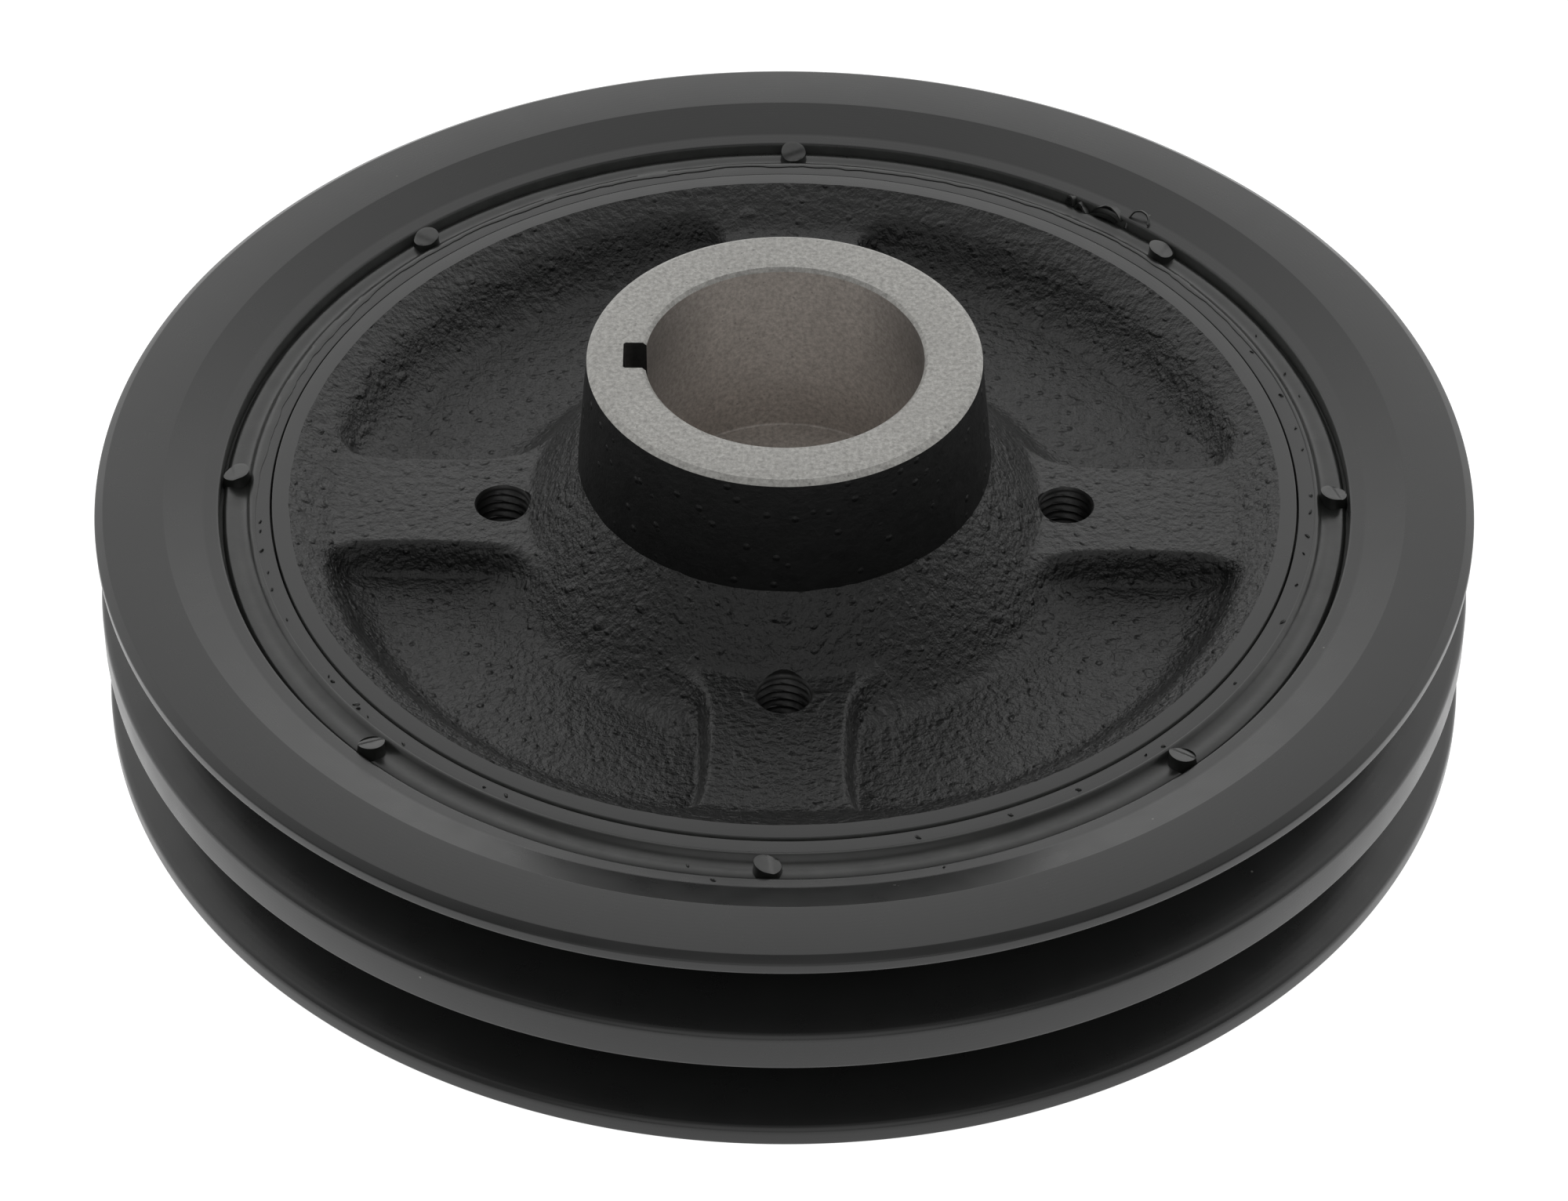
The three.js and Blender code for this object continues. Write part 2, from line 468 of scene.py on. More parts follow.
def boss_wall_paint():
    """Dull black paint on the boss, with a few small pimples in it."""
    nodes = Nodes("boss_wall_paint")
    pimples = nodes.remap(nodes.cells(2.6), 0.05, 0.20, 1, 0)
    tone = nodes.mix(nodes.noise(1.5, 3), (0.0045, 0.0046, 0.0046), (0.0075, 0.0077, 0.0075))
    roughness = nodes.remap(nodes.noise(2.2, 3), 0.3, 0.7, 0.42, 0.55)
    normal = nodes.bump(nodes.noise(0.9, 3, 0.6), 0.10)
    normal = nodes.bump(pimples, 0.22, normal)
    nodes.shader.inputs["Specular IOR Level"].default_value = 0.24
    return nodes.finish(tone, roughness, normal)


def joint_residue():
    """Dull rubber and paint residue on the walls of the narrow joints, coloured much lighter than the paint
    as painted light, so these shaded walls don't read black.
    """
    nodes = Nodes("joint_residue")
    # Painted light: this grey is far lighter than the black paint, standing in for light reaching into the
    # shaded joints and gap.
    tone = nodes.mix(nodes.noise(1.5, 3), (0.030, 0.031, 0.030), (0.055, 0.057, 0.054))
    roughness = nodes.remap(nodes.noise(2.0, 3), 0.3, 0.7, 0.55, 0.70)
    return nodes.finish(tone, roughness, nodes.bump(nodes.noise(0.5, 3), 0.02))


def bare_iron(name, light, dark, metallic, roughness, lines, side_shade_share=0.0):
    """Machined grey iron with graphite specks and faint tool lines.

    roughness is its low and high end, lines the spacing and depth of the tool lines. The share given last
    is how much painted shade darkens the bore's left and right sides, most of it near the top.
    """
    nodes = Nodes(name)
    specks = nodes.remap(nodes.noise(0.60, 4, 0.75), 0.36, 0.66, 0, 1)
    clouds = nodes.remap(nodes.noise(6, 3), 0.3, 0.7, 0, 1)
    pits = nodes.remap(nodes.cells(1.7), 0.05, 0.11, 1, 0)
    tone = nodes.mix(specks, dark, light)
    tone = nodes.mix(nodes.math("MULTIPLY", clouds, 0.25), tone, dark)
    colour = nodes.mix(nodes.math("MULTIPLY", pits, 0.5), tone, tuple(0.35 * part for part in dark))
    # Painted shade: the bore's left and right sides are darkened in the colour itself, more towards the
    # top.
    side_shade = nodes.remap(nodes.sideways(), 9, 17.2, 0, side_shade_share)
    film = nodes.math("MULTIPLY", side_shade, nodes.remap(nodes.height(), 30, 46, 0.2, 1))
    colour = nodes.mix(film, colour, tuple(0.2 * part for part in dark))
    spacing, depth = lines
    normal = nodes.bump(nodes.noise(0.30, 3, 0.7), 0.014)
    normal = nodes.bump(nodes.turned(spacing, 0.3), depth, normal)
    nodes.shader.inputs["Metallic"].default_value = metallic
    return nodes.finish(colour, nodes.remap(specks, 0, 1, roughness[1], roughness[0]), normal)


def moulded_rubber():
    """Satin rubber with bloom and a faint moulding texture."""
    nodes = Nodes("moulded_rubber")
    bloom = nodes.remap(nodes.noise(4.5, 4, 0.6), 0.35, 0.68, 0, 1)
    tone = nodes.mix(bloom, (0.0075, 0.0080, 0.0074), (0.0125, 0.0132, 0.0122))
    roughness = nodes.remap(nodes.noise(2.0, 3), 0.3, 0.7, 0.27, 0.36)
    normal = nodes.bump(nodes.noise(0.7, 3, 0.6), 0.012)
    return nodes.finish(tone, roughness, normal)


def backlit_floor():
    """Plain near-white floor that glows, so that no grey patch shows round the pulley."""
    nodes = Nodes("backlit_floor")
    tone = nodes.mix(nodes.noise(300, 2), (0.28, 0.28, 0.28), (0.30, 0.30, 0.30))
    glow = nodes.mix(nodes.noise(300, 2), (0.98, 0.98, 0.98), (1.0, 1.0, 1.0))
    nodes.link(tone, nodes.shader.inputs["Base Color"])
    nodes.link(glow, nodes.shader.inputs["Emission Color"])
    nodes.shader.inputs["Emission Strength"].default_value = 1.0
    nodes.shader.inputs["Roughness"].default_value = 0.9
    nodes.shader.inputs["Specular IOR Level"].default_value = 0.0
    return nodes.material


# ---------------------------------------------------------------- outer ring

def groove_corners(centre):
    """One belt groove from its lower to its upper edge; the upper edge of a land is rounder."""
    half_top = GROOVE_TOP_WIDTH / 2
    half_floor = half_top - GROOVE_DEPTH * math.tan(GROOVE_HALF_ANGLE)
    floor_radius = RING_RADIUS - GROOVE_DEPTH
    return [
        (RING_RADIUS, centre - half_top, 1.1, "paint"),
        (floor_radius, centre - half_floor, 0.8, "paint"),
        (floor_radius, centre + half_floor, 0.8, "paint"),
        (RING_RADIUS, centre + half_top, 0.6, "paint"),
    ]


def grooved_ring(materials):
    """The heavy outer ring, from its lower edge past both grooves to the lip beside the rubber."""
    corners = [
        (RING_INNER_RADIUS, RING_CHAMFER, 0, "paint"),
        (RING_INNER_RADIUS + RING_CHAMFER, 0, 0.2, "paint"),
        (RING_RADIUS - RING_CHAMFER, 0, 0.3, "paint"),
        (RING_RADIUS, RING_CHAMFER, 0.4, "paint"),
    ]
    for centre in GROOVE_CENTRES:
        corners += groove_corners(centre)
    corners += [
        (RING_RADIUS, FACE_EDGE_HEIGHT - FACE_EDGE_DROP, 0.4, "paint"),
        (FACE_EDGE_RADIUS, FACE_EDGE_HEIGHT, 0.25, "paint"),
        (RIDGE_RADIUS, RING_TOP, 0.35, "paint"),
        (LIP_OUTER_RADIUS, LIP_HEIGHT + LIP_SLOPE, 1.6, "paint"),
        (RING_INNER_RADIUS, LIP_HEIGHT - 0.05, 0.4, "joint"),
    ]
    return turned_ring("grooved_ring", corners, materials)


# ---------------------------------------------------------------- sleeve

def sleeve_ring(materials):
    """The steel sleeve, with the open joint line between it and the hub."""
    inner_radius = HUB_RADIUS + JOINT_WIDTH
    step_height = SLEEVE_TOP - JOINT_DEPTH
    corners = [
        (PRESS_RADIUS, SLEEVE_BOTTOM, 0.2, "paint"),
        (SLEEVE_RADIUS, SLEEVE_BOTTOM, 0.2, "paint"),
        (SLEEVE_RADIUS, SLEEVE_TOP, 0.15, "paint"),
        (inner_radius, SLEEVE_TOP, 0.12, "joint"),
        (inner_radius, step_height, 0, "joint"),
        (PRESS_RADIUS, step_height, 0, "joint"),
    ]
    return turned_ring("sleeve_ring", corners, materials)


# ---------------------------------------------------------------- rubber

def film_window(degrees):
    """1 where the sleeve carries a film of flash, 0 where it is clean, with soft ends."""
    return np.interp(degrees, FILM_DEGREES, (0, 1, 1, 0))


def rubber_body():
    """Vertices and faces of the rubber ring, with a film of flash that ends in a torn, wavy edge."""
    wall_radius = SLEEVE_RADIUS + 0.03
    film_top = SLEEVE_TOP + FLASH_THICKNESS
    profile = [
        (SLEEVE_RADIUS - 0.35, SLEEVE_TOP - 0.01, "film"),
        (SLEEVE_RADIUS - 0.33, film_top - 0.03, "film"),
        (SLEEVE_RADIUS - 0.25, film_top, "film"),
        (SLEEVE_RADIUS - 0.10, film_top, "film"),
        (SLEEVE_RADIUS + 0.10, film_top - 0.08, "top"),
        (SLEEVE_RADIUS + 0.35, RUBBER_HEIGHT + 0.50, "top"),
        (SLEEVE_RADIUS + 0.60, RUBBER_HEIGHT + 0.28, "top"),
        (SLEEVE_RADIUS + 0.85, RUBBER_HEIGHT + 0.13, "top"),
        (SLEEVE_RADIUS + 1.15, RUBBER_HEIGHT + 0.04, "top"),
        (SLEEVE_RADIUS + 1.50, RUBBER_HEIGHT + 0.02, "top"),
        (SLEEVE_RADIUS + 1.80, RUBBER_HEIGHT + 0.06, "top"),
        (SLEEVE_RADIUS + 2.15, RUBBER_HEIGHT + 0.11, "top"),
        (SLEEVE_RADIUS + 2.50, RUBBER_HEIGHT + 0.14, "top"),
        (SLEEVE_RADIUS + 2.85, RUBBER_HEIGHT + 0.12, "top"),
        (SLEEVE_RADIUS + 3.15, RUBBER_HEIGHT + 0.04, "top"),
        (SLEEVE_RADIUS + 3.42, RUBBER_HEIGHT - 0.10, "top"),
        (SLEEVE_RADIUS + 3.60, RUBBER_HEIGHT - 0.35, "gap"),
        (SLEEVE_RADIUS + 3.64, RUBBER_HEIGHT - 0.7, "gap"),
        (SLEEVE_RADIUS + 3.70, RUBBER_HEIGHT - 1.0, "gap"),
        (RUBBER_OUTER_RADIUS, RUBBER_HEIGHT - 1.05, "side"),
        (RUBBER_OUTER_RADIUS, RUBBER_BOTTOM + 0.4, "side"),
        (RUBBER_OUTER_RADIUS - 0.3, RUBBER_BOTTOM, "side"),
        (wall_radius + 0.3, RUBBER_BOTTOM, "side"),
        (wall_radius, RUBBER_BOTTOM + 0.4, "side"),
        (wall_radius, SLEEVE_TOP - 0.01, "side"),
    ]
    columns = 2 * RING_COLUMNS
    angles = even_angles(columns)
    grid = revolve([point[:2] for point in profile], angles)
    outward = np.stack([np.cos(angles), np.sin(angles), np.zeros(columns)], axis=1)
    degrees = np.degrees(angles)
    wave = 0.24 * lattice_noise(outward * 100, 11, 3) + 0.16 * lattice_noise(outward * 100, 3.2, 4)
    wave += 0.07 * lattice_noise(outward * 100, 1.1, 8)
    edge = FLASH_EDGE_RADIUS + 0.35 * np.cos(angles - math.radians(62)) + wave
    pull = film_window(degrees) * (SLEEVE_RADIUS - 0.35 - edge)
    film_rows = [index for index, point in enumerate(profile) if point[2] == "film"]
    for row, share in zip(film_rows, (1.0, 1.0, 0.97, 0.45)):
        grid[row] -= outward * (share * pull)[:, None]
    top_rows = [index for index, point in enumerate(profile) if point[2] == "top"]
    top = grid[top_rows].reshape(-1, 3)
    ripple = 0.035 * lattice_noise(top, 6, 5) + 0.02 * lattice_noise(top, 2, 6)
    grid[top_rows, :, 2] += ripple.reshape(len(top_rows), columns)
    # The gap rows take the lighter joint colour: painted light in the shaded gap beside the outer ring.
    face_materials = np.repeat([1 if point[2] == "gap" else 0 for point in profile], columns)
    return grid.reshape(-1, 3), ring_faces(len(profile), columns), face_materials


def stub(angle, seed):
    """A moulding stub whose top was torn off at a slant, leaving a crest."""
    random = np.random.default_rng(seed)
    tilt_way = random.uniform(0, 2 * math.pi)
    tilt = random.uniform(0.14, 0.32)
    crest_way = tilt_way + random.uniform(-0.6, 0.6)
    sides, rings = 28, 7
    base = RUBBER_HEIGHT - 0.6
    vertices = []
    levels = [(1.12, base), (1.03, base + 0.9), (0.98, base + 1.5), (0.97, None)]
    for scale, level in levels:
        for side in range(sides):
            turn = side * 2 * math.pi / sides
            wobble = 1 + 0.03 * math.sin(3 * turn + seed)
            x = STUB_RADIUS * scale * wobble * math.cos(turn)
            y = STUB_RADIUS * scale * wobble * math.sin(turn)
            top = stub_top(x, y, tilt_way, tilt, crest_way)
            vertices.append([x, y, top if level is None else level])
    for ring in range(1, rings):
        scale = 0.95 * (1 - ring / rings)
        for side in range(sides):
            turn = side * 2 * math.pi / sides
            x = STUB_RADIUS * scale * math.cos(turn)
            y = STUB_RADIUS * scale * math.sin(turn)
            vertices.append([x, y, stub_top(x, y, tilt_way, tilt, crest_way) + 0.03])
    centre_x = STUB_CIRCLE_RADIUS * math.cos(angle)
    centre_y = STUB_CIRCLE_RADIUS * math.sin(angle)
    return np.array(vertices) + (centre_x, centre_y, 0), tube_faces(len(levels) + rings - 1, sides)


def stub_top(x, y, tilt_way, tilt, crest_way):
    """Height of a stub's torn top: a slanted cut with a step across it."""
    slope = tilt * (x * math.cos(tilt_way) + y * math.sin(tilt_way))
    across = x * math.cos(crest_way) + y * math.sin(crest_way)
    step = 0.24 / (1 + math.exp(-9 * (across + 0.35)))
    return STUB_TOP - 0.60 + slope + step


def crumb(angle, radius, height, size, seed):
    """A small torn scrap of flash that lies on a surface at a height."""
    random = np.random.default_rng(seed)
    along = np.array([-math.sin(angle), math.cos(angle), 0])
    across = np.array([math.cos(angle), math.sin(angle), 0])
    turn = random.uniform(-0.9, 0.9)
    long_way = along * math.cos(turn) + across * math.sin(turn)
    short_way = across * math.cos(turn) - along * math.sin(turn)
    centre = across * radius + np.array([0, 0, height])
    sides = 10
    vertices = []
    for scale, level in ((1.0, -0.03), (0.85, 0.10), (0.45, 0.20)):
        for side in range(sides):
            way = side * 2 * math.pi / sides
            reach = size * scale * (1 + 0.3 * random.uniform(-1, 1))
            offset = long_way * math.cos(way) * reach + short_way * math.sin(way) * reach * 0.45
            vertices.append(centre + offset + (0, 0, level * (1 + random.uniform(-0.4, 0.4))))
    return np.array(vertices), tube_faces(3, sides)


def ribbon(points, width, thickness):
    """A closed strip along a list of points, for a curl of torn flash."""
    vertices = []
    last = len(points) - 1
    for index, point in enumerate(points):
        ahead = points[min(index + 1, last)] - points[max(index - 1, 0)]
        ahead = ahead / np.linalg.norm(ahead)
        side = np.cross(ahead, (0.3, 0.2, 1))
        side = side / np.linalg.norm(side)
        top = np.cross(side, ahead)
        taper = 0.25 + 0.75 * math.sin(math.pi * (0.15 + 0.7 * index / last))
        for across, up in ((-1, -1), (1, -1), (1, 1), (-1, 1)):
            vertices.append(point + side * across * width * taper / 2 + top * up * thickness / 2)
    return np.array(vertices), tube_faces(len(points), 4)


def around_axis(degrees, radius, height):
    """The point at a number of degrees round the axis."""
    angle = math.radians(degrees)
    return np.array([radius * math.cos(angle), radius * math.sin(angle), height])


def scattered_crumbs(random):
    """Scraps where the film has torn away, and a few strays on the rubber and the outer ring."""
    crumbs = []
    for index, degrees in enumerate(CRUMB_DEGREES):
        angle = math.radians(degrees + random.uniform(-1.5, 1.5))
        radius = FLASH_EDGE_RADIUS + random.uniform(-0.15, 0.35)
        crumbs.append(crumb(angle, radius, SLEEVE_TOP, random.uniform(0.22, 0.50), 100 + index))
    for index, (degrees, radius, height, size) in enumerate(STRAY_CRUMBS):
        crumbs.append(crumb(math.radians(degrees), radius, height, size, 200 + index))
    return crumbs


def flash_curls():
    """Torn threads and flaps of flash that stand out of the gap beside the outer ring."""
    curls = []
    for points, width, thickness in FLASH_CURLS:
        coarse = np.array([around_axis(*point) for point in points])
        steps = np.linspace(0, len(coarse) - 1, 6 * len(coarse))
        softened = np.stack([np.interp(steps, range(len(coarse)), column) for column in coarse.T], axis=1)
        for _ in range(4):
            softened[1:-1] = (softened[:-2] + 2 * softened[1:-1] + softened[2:]) / 4
        curls.append(ribbon(softened, width, thickness))
    return curls


def damper_rubber(materials):
    """materials are in the order rubber, joint."""
    body_vertices, body_faces, face_materials = rubber_body()
    random = np.random.default_rng(11)
    parts = []
    for index in range(STUB_COUNT):
        scatter = math.radians(random.uniform(-0.6, 0.6))
        parts.append(stub(PATTERN_TURN + index * 2 * math.pi / STUB_COUNT + scatter, index))
    parts += scattered_crumbs(random)
    parts += flash_curls()
    vertices, faces = body_vertices.tolist(), body_faces.tolist()
    for part_vertices, part_faces in parts:
        start = len(vertices)
        vertices.extend(part_vertices.tolist())
        faces.extend([[start + int(corner) for corner in face] for face in part_faces])
    face_materials = np.concatenate([face_materials, np.zeros(len(faces) - len(face_materials), dtype=int)])
    piece = build_mesh("damper_rubber", vertices, faces, materials, face_materials)
    shade_smooth(piece, 50)
    return piece


# ---------------------------------------------------------------- hub

def bend(distance, slope_angle, fillet):
    """Drop of a surface that is level up to distance 0 and then falls at slope_angle, with a fillet."""
    slope = math.tan(slope_angle)
    half = fillet * math.tan(slope_angle / 2)
    parabola = np.clip(distance + half, 0, 2 * half) ** 2 * slope / (4 * half)
    return parabola + np.maximum(distance - half, 0) * slope


def pocket_wall(distance, slope_angle, top_fillet, bottom_fillet):
    """Drop from the pads' plane to the pocket's floor, at a plan distance from the pocket's edge."""
    depth = PAD_HEIGHT - POCKET_FLOOR
    drop = bend(distance, slope_angle, top_fillet)
    run = depth / math.tan(slope_angle)
    return drop - bend(distance - run, slope_angle, bottom_fillet)


def dish_height(x, y):
    """Height of the dished face: rim slope, four pads with pockets between them, and cone."""
    radius = np.hypot(x, y)
    rim = bend(radius - RIM_SLOPE_RADIUS, RIM_SLOPE, RIM_FILLET)
    cone = bend(CONE_FOOT_RADIUS - radius, CONE_SLOPE, CONE_FILLET)
    beside_pad = np.full(x.shape, 100.0)
    for quarter in range(4):
        way = PATTERN_TURN + quarter * math.pi / 2
        along = x * math.cos(way) + y * math.sin(way)
        across = np.abs(y * math.cos(way) - x * math.sin(way))
        beside_pad = np.where(along > 0, np.minimum(beside_pad, across - PAD_HALF_WIDTH), beside_pad)
    walls = (
        (POCKET_RADIUS - radius, (POCKET_SLOPE, 2.5, 3.0)),
        (radius - CONE_FOOT_RADIUS, (CONE_SLOPE, CONE_FILLET, 3.5)),
        (beside_pad, (PAD_SLOPE, 1.1, 0.5)),
    )
    shares = [np.exp(-np.maximum(distance, -12) / CORNER_BLEND) for distance, _ in walls]
    total = sum(shares)
    inside = -CORNER_BLEND * np.log(total)
    pocket = sum(share * pocket_wall(inside, *shape) for share, (_, shape) in zip(shares, walls)) / total
    return PAD_HEIGHT + rim + cone - pocket


def hub_corners():
    """The hub's closed outline: back, rim, dished face, boss and bore."""
    return [
        (BOLT_HOLE_RADIUS, BOLT_SEAT_HEIGHT, 0.3, "bare"),
        (BOLT_SEAT_RADIUS, BOLT_SEAT_HEIGHT, 0.4, "back"),
        (BOLT_SEAT_RADIUS + BOLT_SEAT_SLOPE, WEB_UNDERSIDE, 1.2, "back"),
        (WEB_RECESS_RADIUS, WEB_UNDERSIDE, 3.0, "back"),
        (RIM_FOOT_RADIUS, HUB_BOTTOM, 0.5, "paint"),
        (HUB_RADIUS + RIM_FLARE, HUB_BOTTOM, 0.4, "joint"),
        (HUB_RADIUS + RIM_FLARE, HUB_FACE - RIM_EDGE_DROP, 0.18, "paint"),
        (HUB_RIM_INNER_RADIUS, HUB_FACE, 0, "dish"),
        (BOSS_BASE_RADIUS, BOSS_BASE_HEIGHT, 0, "wall"),
        (BOSS_TOP_RADIUS, BOSS_TOP - BOSS_CHAMFER_HEIGHT, 0, "bare"),
        (BOSS_TOP_RADIUS - BOSS_CHAMFER, BOSS_TOP, 0.1, "bare"),
        (BORE_RADIUS + BORE_CHAMFER, BOSS_TOP, 0.1, "bare"),
        (BORE_RADIUS, BOSS_TOP - BORE_CHAMFER, 0.1, "bore"),
        (BORE_RADIUS, SHELF_HEIGHT, 0.35, "bore"),
        (BOLT_HOLE_RADIUS, SHELF_HEIGHT, 0.3, "bore"),
    ]


def hub_angles():
    """Column angles, close together where the pads have their sides."""
    half = np.concatenate([np.arange(0, 7.6, 0.95), np.arange(7.6, 16.2, 0.37), np.arange(16.2, 44.9, 1.0)])
    quadrant = np.concatenate([-half[:0:-1], half])
    degrees = np.concatenate([quadrant + 90 * quarter for quarter in range(4)])
    return np.radians(degrees) + PATTERN_TURN


def roughen_casting(grid, names):
    """Shapes the rows named dish, then adds sand-cast lumps and pits to all cast rows."""
    rows, columns, _ = grid.shape
    named = {name: np.array([row_name == name for row_name in names]) for name in ("dish", "wall", "back")}
    dish_rows = np.flatnonzero(named["dish"])
    grid[dish_rows, :, 2] = dish_height(grid[dish_rows, :, 0], grid[dish_rows, :, 1])
    normals = grid_normals(grid)
    flat = grid.reshape(-1, 3)
    lumps = 0.05 * lattice_noise(flat, 2.3, 21) + 0.055 * lattice_noise(flat, 1.3, 22)
    scars = lattice_noise(flat, 1.7, 23)
    lumps += 0.22 * np.maximum(scars - 0.5, 0) - 0.22 * np.maximum(-scars - 0.5, 0)
    lumps = lumps.reshape(rows, columns)
    radius = np.hypot(grid[..., 0], grid[..., 1])
    dish_strength = np.interp(radius, (30, 40, 50, 57, 63), (0.7, 0.5, 0.6, 0.9, 1.0))
    strengths = (("dish", dish_strength), ("wall", 0.5), ("back", 1.2))
    strength = sum(named[name][:, None] * share for name, share in strengths)
    cast = named["dish"] | named["wall"] | named["back"]
    edge_rows = np.flatnonzero(cast & ~np.roll(cast, 1))
    strength[edge_rows] = 0
    grid += normals * (lumps * strength)[..., None]
    outward = grid[..., :2] / np.linalg.norm(grid[..., :2], axis=-1, keepdims=True)
    for row in edge_rows:
        grid[row, :, :2] += outward[row] * (0.9 * lumps[row])[:, None]
    wall_foot = np.flatnonzero(named["wall"])[:1]
    grid[wall_foot, :, 2] += 2.2 * lumps[wall_foot]


def threaded_cutter(angle, materials, index):
    """A closed screw shape that cuts one M8 thread through the web."""
    sides = 30
    low, high = WEB_UNDERSIDE - 1.5, PAD_HEIGHT + 4
    rows = math.ceil((high - low) / THREAD_PITCH * THREAD_ROWS_PER_TURN)
    vertices = []
    for row in range(rows + 1):
        level = low + (high - low) * row / rows
        for side in range(sides):
            turn = side * 2 * math.pi / sides
            phase = (level / THREAD_PITCH - side / sides) % 1
            tooth = min(1, max(0, 1.25 - 2.5 * abs(phase - 0.5)))
            radius = THREAD_CREST_RADIUS + (THREAD_ROOT_RADIUS - THREAD_CREST_RADIUS) * tooth
            mouth = THREAD_CREST_RADIUS + min(MOUTH_CHAMFER, max(0, level - (PAD_HEIGHT - MOUTH_CHAMFER)))
            if level > PAD_HEIGHT - THREAD_START:
                radius = THREAD_CREST_RADIUS
            radius = max(radius, mouth)
            vertices.append([radius * math.cos(turn), radius * math.sin(turn), level])
    faces = tube_faces(rows + 1, sides)
    centre = (PULLER_CIRCLE_RADIUS * math.cos(angle), PULLER_CIRCLE_RADIUS * math.sin(angle), 0)
    name = f"thread_cutter_{index}"
    return build_mesh(name, np.array(vertices) + centre, faces, materials, [4] * len(faces))


def keyway_cutter(materials):
    """A square-cornered bar that cuts the keyway on the -X side of the bore."""
    half = KEY_WIDTH / 2
    reach = BORE_RADIUS + KEY_DEPTH
    corner = 0.25
    outline = [(-5, -half), (-reach + corner, -half), (-reach, -half + corner),
               (-reach, half - corner), (-reach + corner, half), (-5, half)]
    count = len(outline)
    vertices = [(x, y, SHELF_HEIGHT) for x, y in outline] + [(x, y, BOSS_TOP + 1) for x, y in outline]
    faces = tube_faces(2, count)
    return build_mesh("keyway_cutter", vertices, faces, materials, [4] * len(faces))


def hub_casting(materials):
    """materials are in the order cast, paint, bare, bore, thread, joint, boss wall."""
    steps = {"dish": DISH_STEP, "wall": WALL_STEP, "back": BACK_STEP}
    points, names = rounded_outline(hub_corners(), steps)
    angles = hub_angles()
    grid = revolve(points, angles)
    roughen_casting(grid, names)
    order = {"dish": 0, "wall": 6, "back": 0, "paint": 1, "bare": 2, "bore": 3, "joint": 5}
    face_materials = np.repeat([order[name] for name in names], len(angles))
    faces = ring_faces(len(points), len(angles))
    piece = build_mesh("hub_casting", grid.reshape(-1, 3), faces, materials, face_materials)
    cutters = [threaded_cutter(index * math.pi / 2, materials, index) for index in range(4)]
    cutters.append(keyway_cutter(materials))
    cut(piece, cutters)
    shade_smooth(piece, 50)
    return piece


# ---------------------------------------------------------------- stage

CAMERA_DISTANCE = 8.398 * RING_RADIUS
CAMERA_ELEVATION = math.radians(40.30)
CAMERA_PITCH = math.radians(41.43)
CAMERA_ROLL = math.radians(0.17)
CAMERA_LENS = 132.35
AIM_HEIGHT = 29.5
FLOOR_HALF = 4000
FLOOR_DROP = 0.2
FILL_DIRECTION = (0, -0.80, 0.60)


def add_camera():
    """The camera, in front of the pulley and above it."""
    data = bpy.data.cameras.new("camera")
    data.sensor_width = 36
    data.lens = CAMERA_LENS
    data.clip_end = 10
    camera = bpy.data.objects.new("camera", data)
    place = Vector((0, -CAMERA_DISTANCE * math.cos(CAMERA_ELEVATION),
                    CAMERA_DISTANCE * math.sin(CAMERA_ELEVATION) + AIM_HEIGHT)) * MM
    tilt = Matrix.Rotation(math.pi / 2 - CAMERA_PITCH, 4, "X")
    roll = Matrix.Rotation(CAMERA_ROLL, 4, "Z")
    camera.matrix_world = Matrix.Translation(place) @ tilt @ roll
    bpy.context.scene.collection.objects.link(camera)
    bpy.context.scene.camera = camera


def add_floor():
    """A wide floor just under the ring's lower edge."""
    corners = [(-FLOOR_HALF, -FLOOR_HALF, 0), (FLOOR_HALF, -FLOOR_HALF, 0),
               (FLOOR_HALF, FLOOR_HALF, 0), (-FLOOR_HALF, FLOOR_HALF, 0)]
    floor = build_mesh("floor", corners, [[0, 1, 2, 3]], [backlit_floor()])
    floor.location.z = -FLOOR_DROP * MM


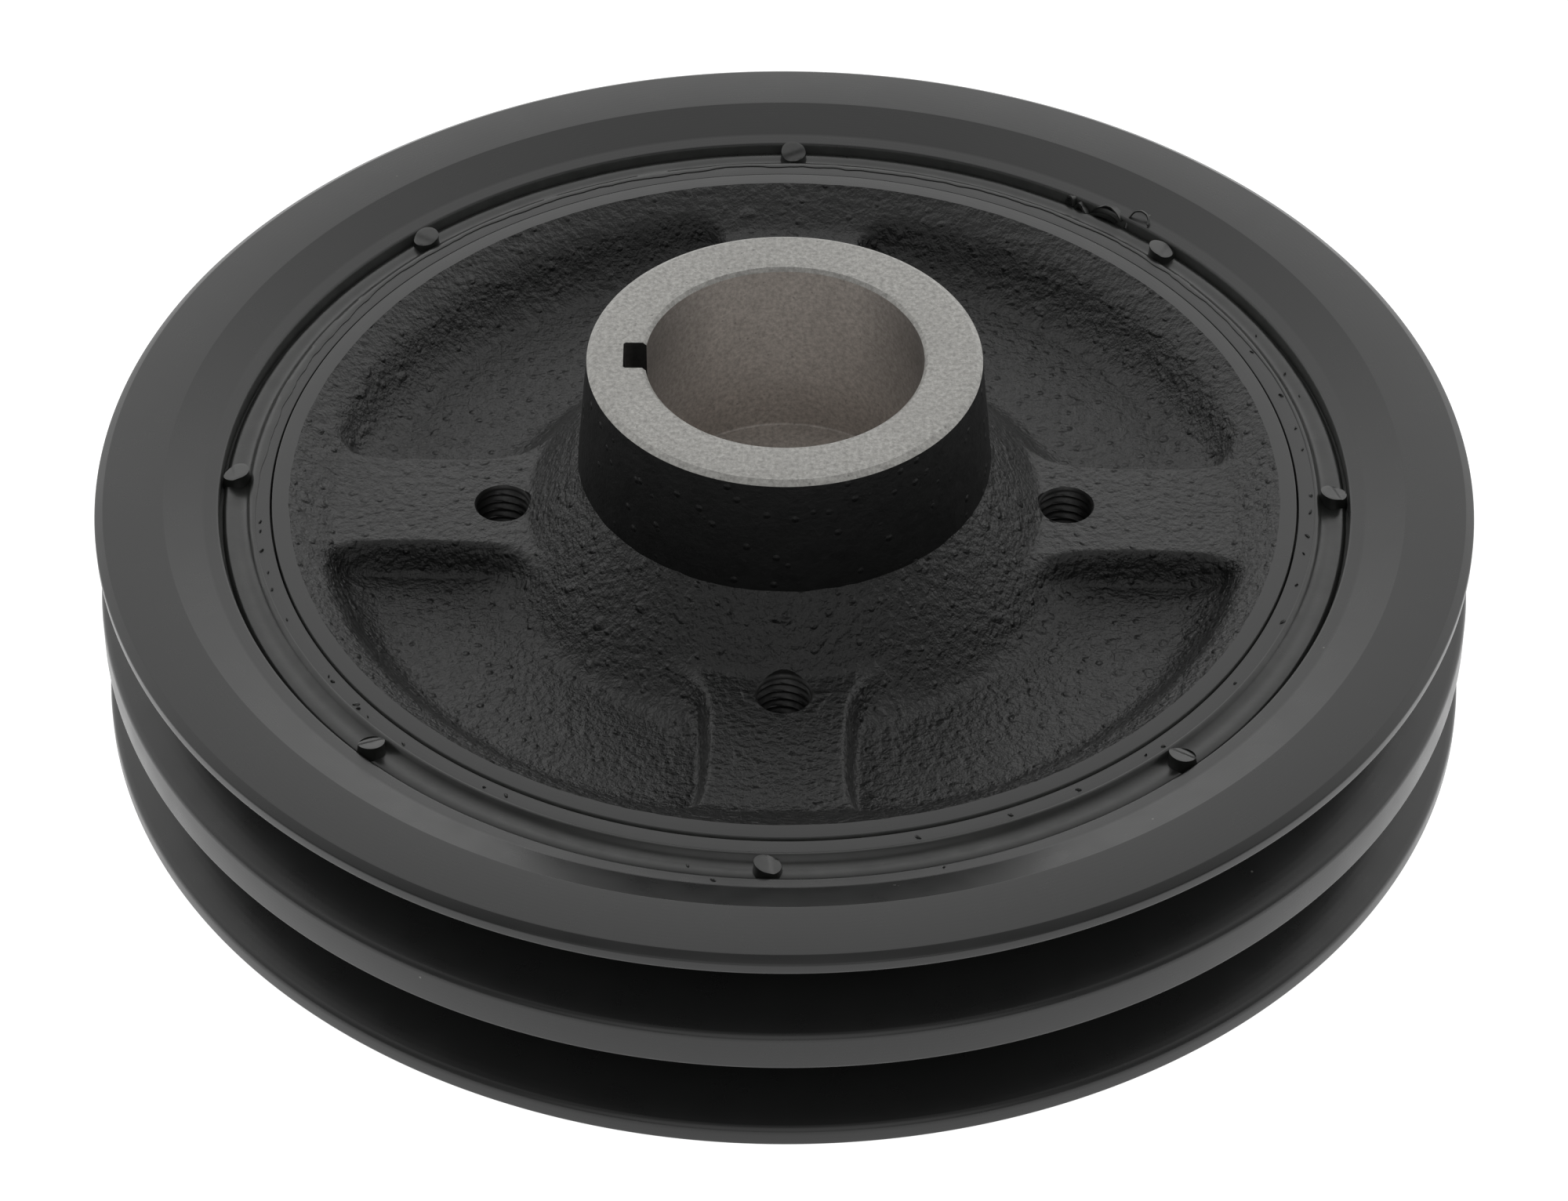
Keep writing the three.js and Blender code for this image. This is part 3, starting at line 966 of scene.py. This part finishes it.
def add_soft_light():
    """Soft light from a big tent: bright behind the pulley, fading overhead and towards the camera."""
    world = bpy.data.worlds.new("light_tent")
    bpy.context.scene.world = world
    world.use_nodes = True
    tree = world.node_tree
    direction = tree.nodes.new("ShaderNodeTexCoord").outputs["Generated"]
    split = tree.nodes.new("ShaderNodeSeparateXYZ")
    tree.links.new(direction, split.inputs[0])

    def ramp(value, low, high, new_low, new_high):
        node = tree.nodes.new("ShaderNodeMapRange")
        node.interpolation_type = "SMOOTHSTEP"
        tree.links.new(value, node.inputs["Value"])
        for key, number in zip(RANGE_SOCKETS, (low, high, new_low, new_high)):
            node.inputs[key].default_value = number
        return node.outputs["Result"]

    def product(first, second):
        node = tree.nodes.new("ShaderNodeMath")
        node.operation = "MULTIPLY"
        tree.links.new(first, node.inputs[0])
        tree.links.new(second, node.inputs[1])
        return node.outputs[0]

    backwards = ramp(split.outputs["Y"], -0.45, 0.45, 0.25, 1.45)
    low_fade = ramp(split.outputs["Z"], -0.05, 0.16, 0.35, 1.0)
    high_fade = ramp(split.outputs["Z"], 0.50, 1.0, 1.0, 0.75)
    towards_fill = tree.nodes.new("ShaderNodeVectorMath")
    towards_fill.operation = "DOT_PRODUCT"
    tree.links.new(direction, towards_fill.inputs[0])
    towards_fill.inputs[1].default_value = FILL_DIRECTION
    fill = ramp(towards_fill.outputs["Value"], 0.80, 0.96, 0.0, 0.75)
    total = tree.nodes.new("ShaderNodeMath")
    total.operation = "ADD"
    tree.links.new(product(product(backwards, low_fade), high_fade), total.inputs[0])
    tree.links.new(fill, total.inputs[1])
    background = tree.nodes["Background"]
    tree.links.new(total.outputs[0], background.inputs["Strength"])
    background.inputs["Color"].default_value = (1.0, 1.0, 0.995, 1)


def add_stage():
    bpy.context.scene.view_settings.view_transform = "Standard"
    add_camera()
    add_floor()
    add_soft_light()


# ---------------------------------------------------------------- assembly

def place_piece(piece, body, node):
    """Puts a finished piece on its body, in place of its node."""
    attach(piece, body)
    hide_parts(node)


add_stage()
paint = satin_black_paint()
bare = bare_iron("bare_face_iron", light=(0.395, 0.39, 0.369), dark=(0.215, 0.211, 0.2),
                 metallic=0.3, roughness=(0.42, 0.55), lines=(0.3, 0.0012))
# The bore's iron carries painted shade on its left and right sides.
bore = bare_iron("bore_iron", light=(0.60, 0.555, 0.515), dark=(0.36, 0.328, 0.302),
                 metallic=0.25, roughness=(0.42, 0.56), lines=(0.22, 0.002), side_shade_share=0.85)
thread = bare_iron("thread_iron", light=(0.020, 0.020, 0.019), dark=(0.010, 0.010, 0.010),
                   metallic=0.2, roughness=(0.35, 0.5), lines=(0.3, 0.002))
joint = joint_residue()
hub_materials = [rough_cast_paint(), paint, bare, bore, thread, joint, boss_wall_paint()]

place_piece(hub_casting(hub_materials), "hub", "hub")
place_piece(sleeve_ring([paint, joint]), "hub", "inner_sleeve")
place_piece(damper_rubber([moulded_rubber(), joint]), "hub", "rubber_ring")
place_piece(grooved_ring([paint, joint]), "pulley_ring", "pulley_ring")
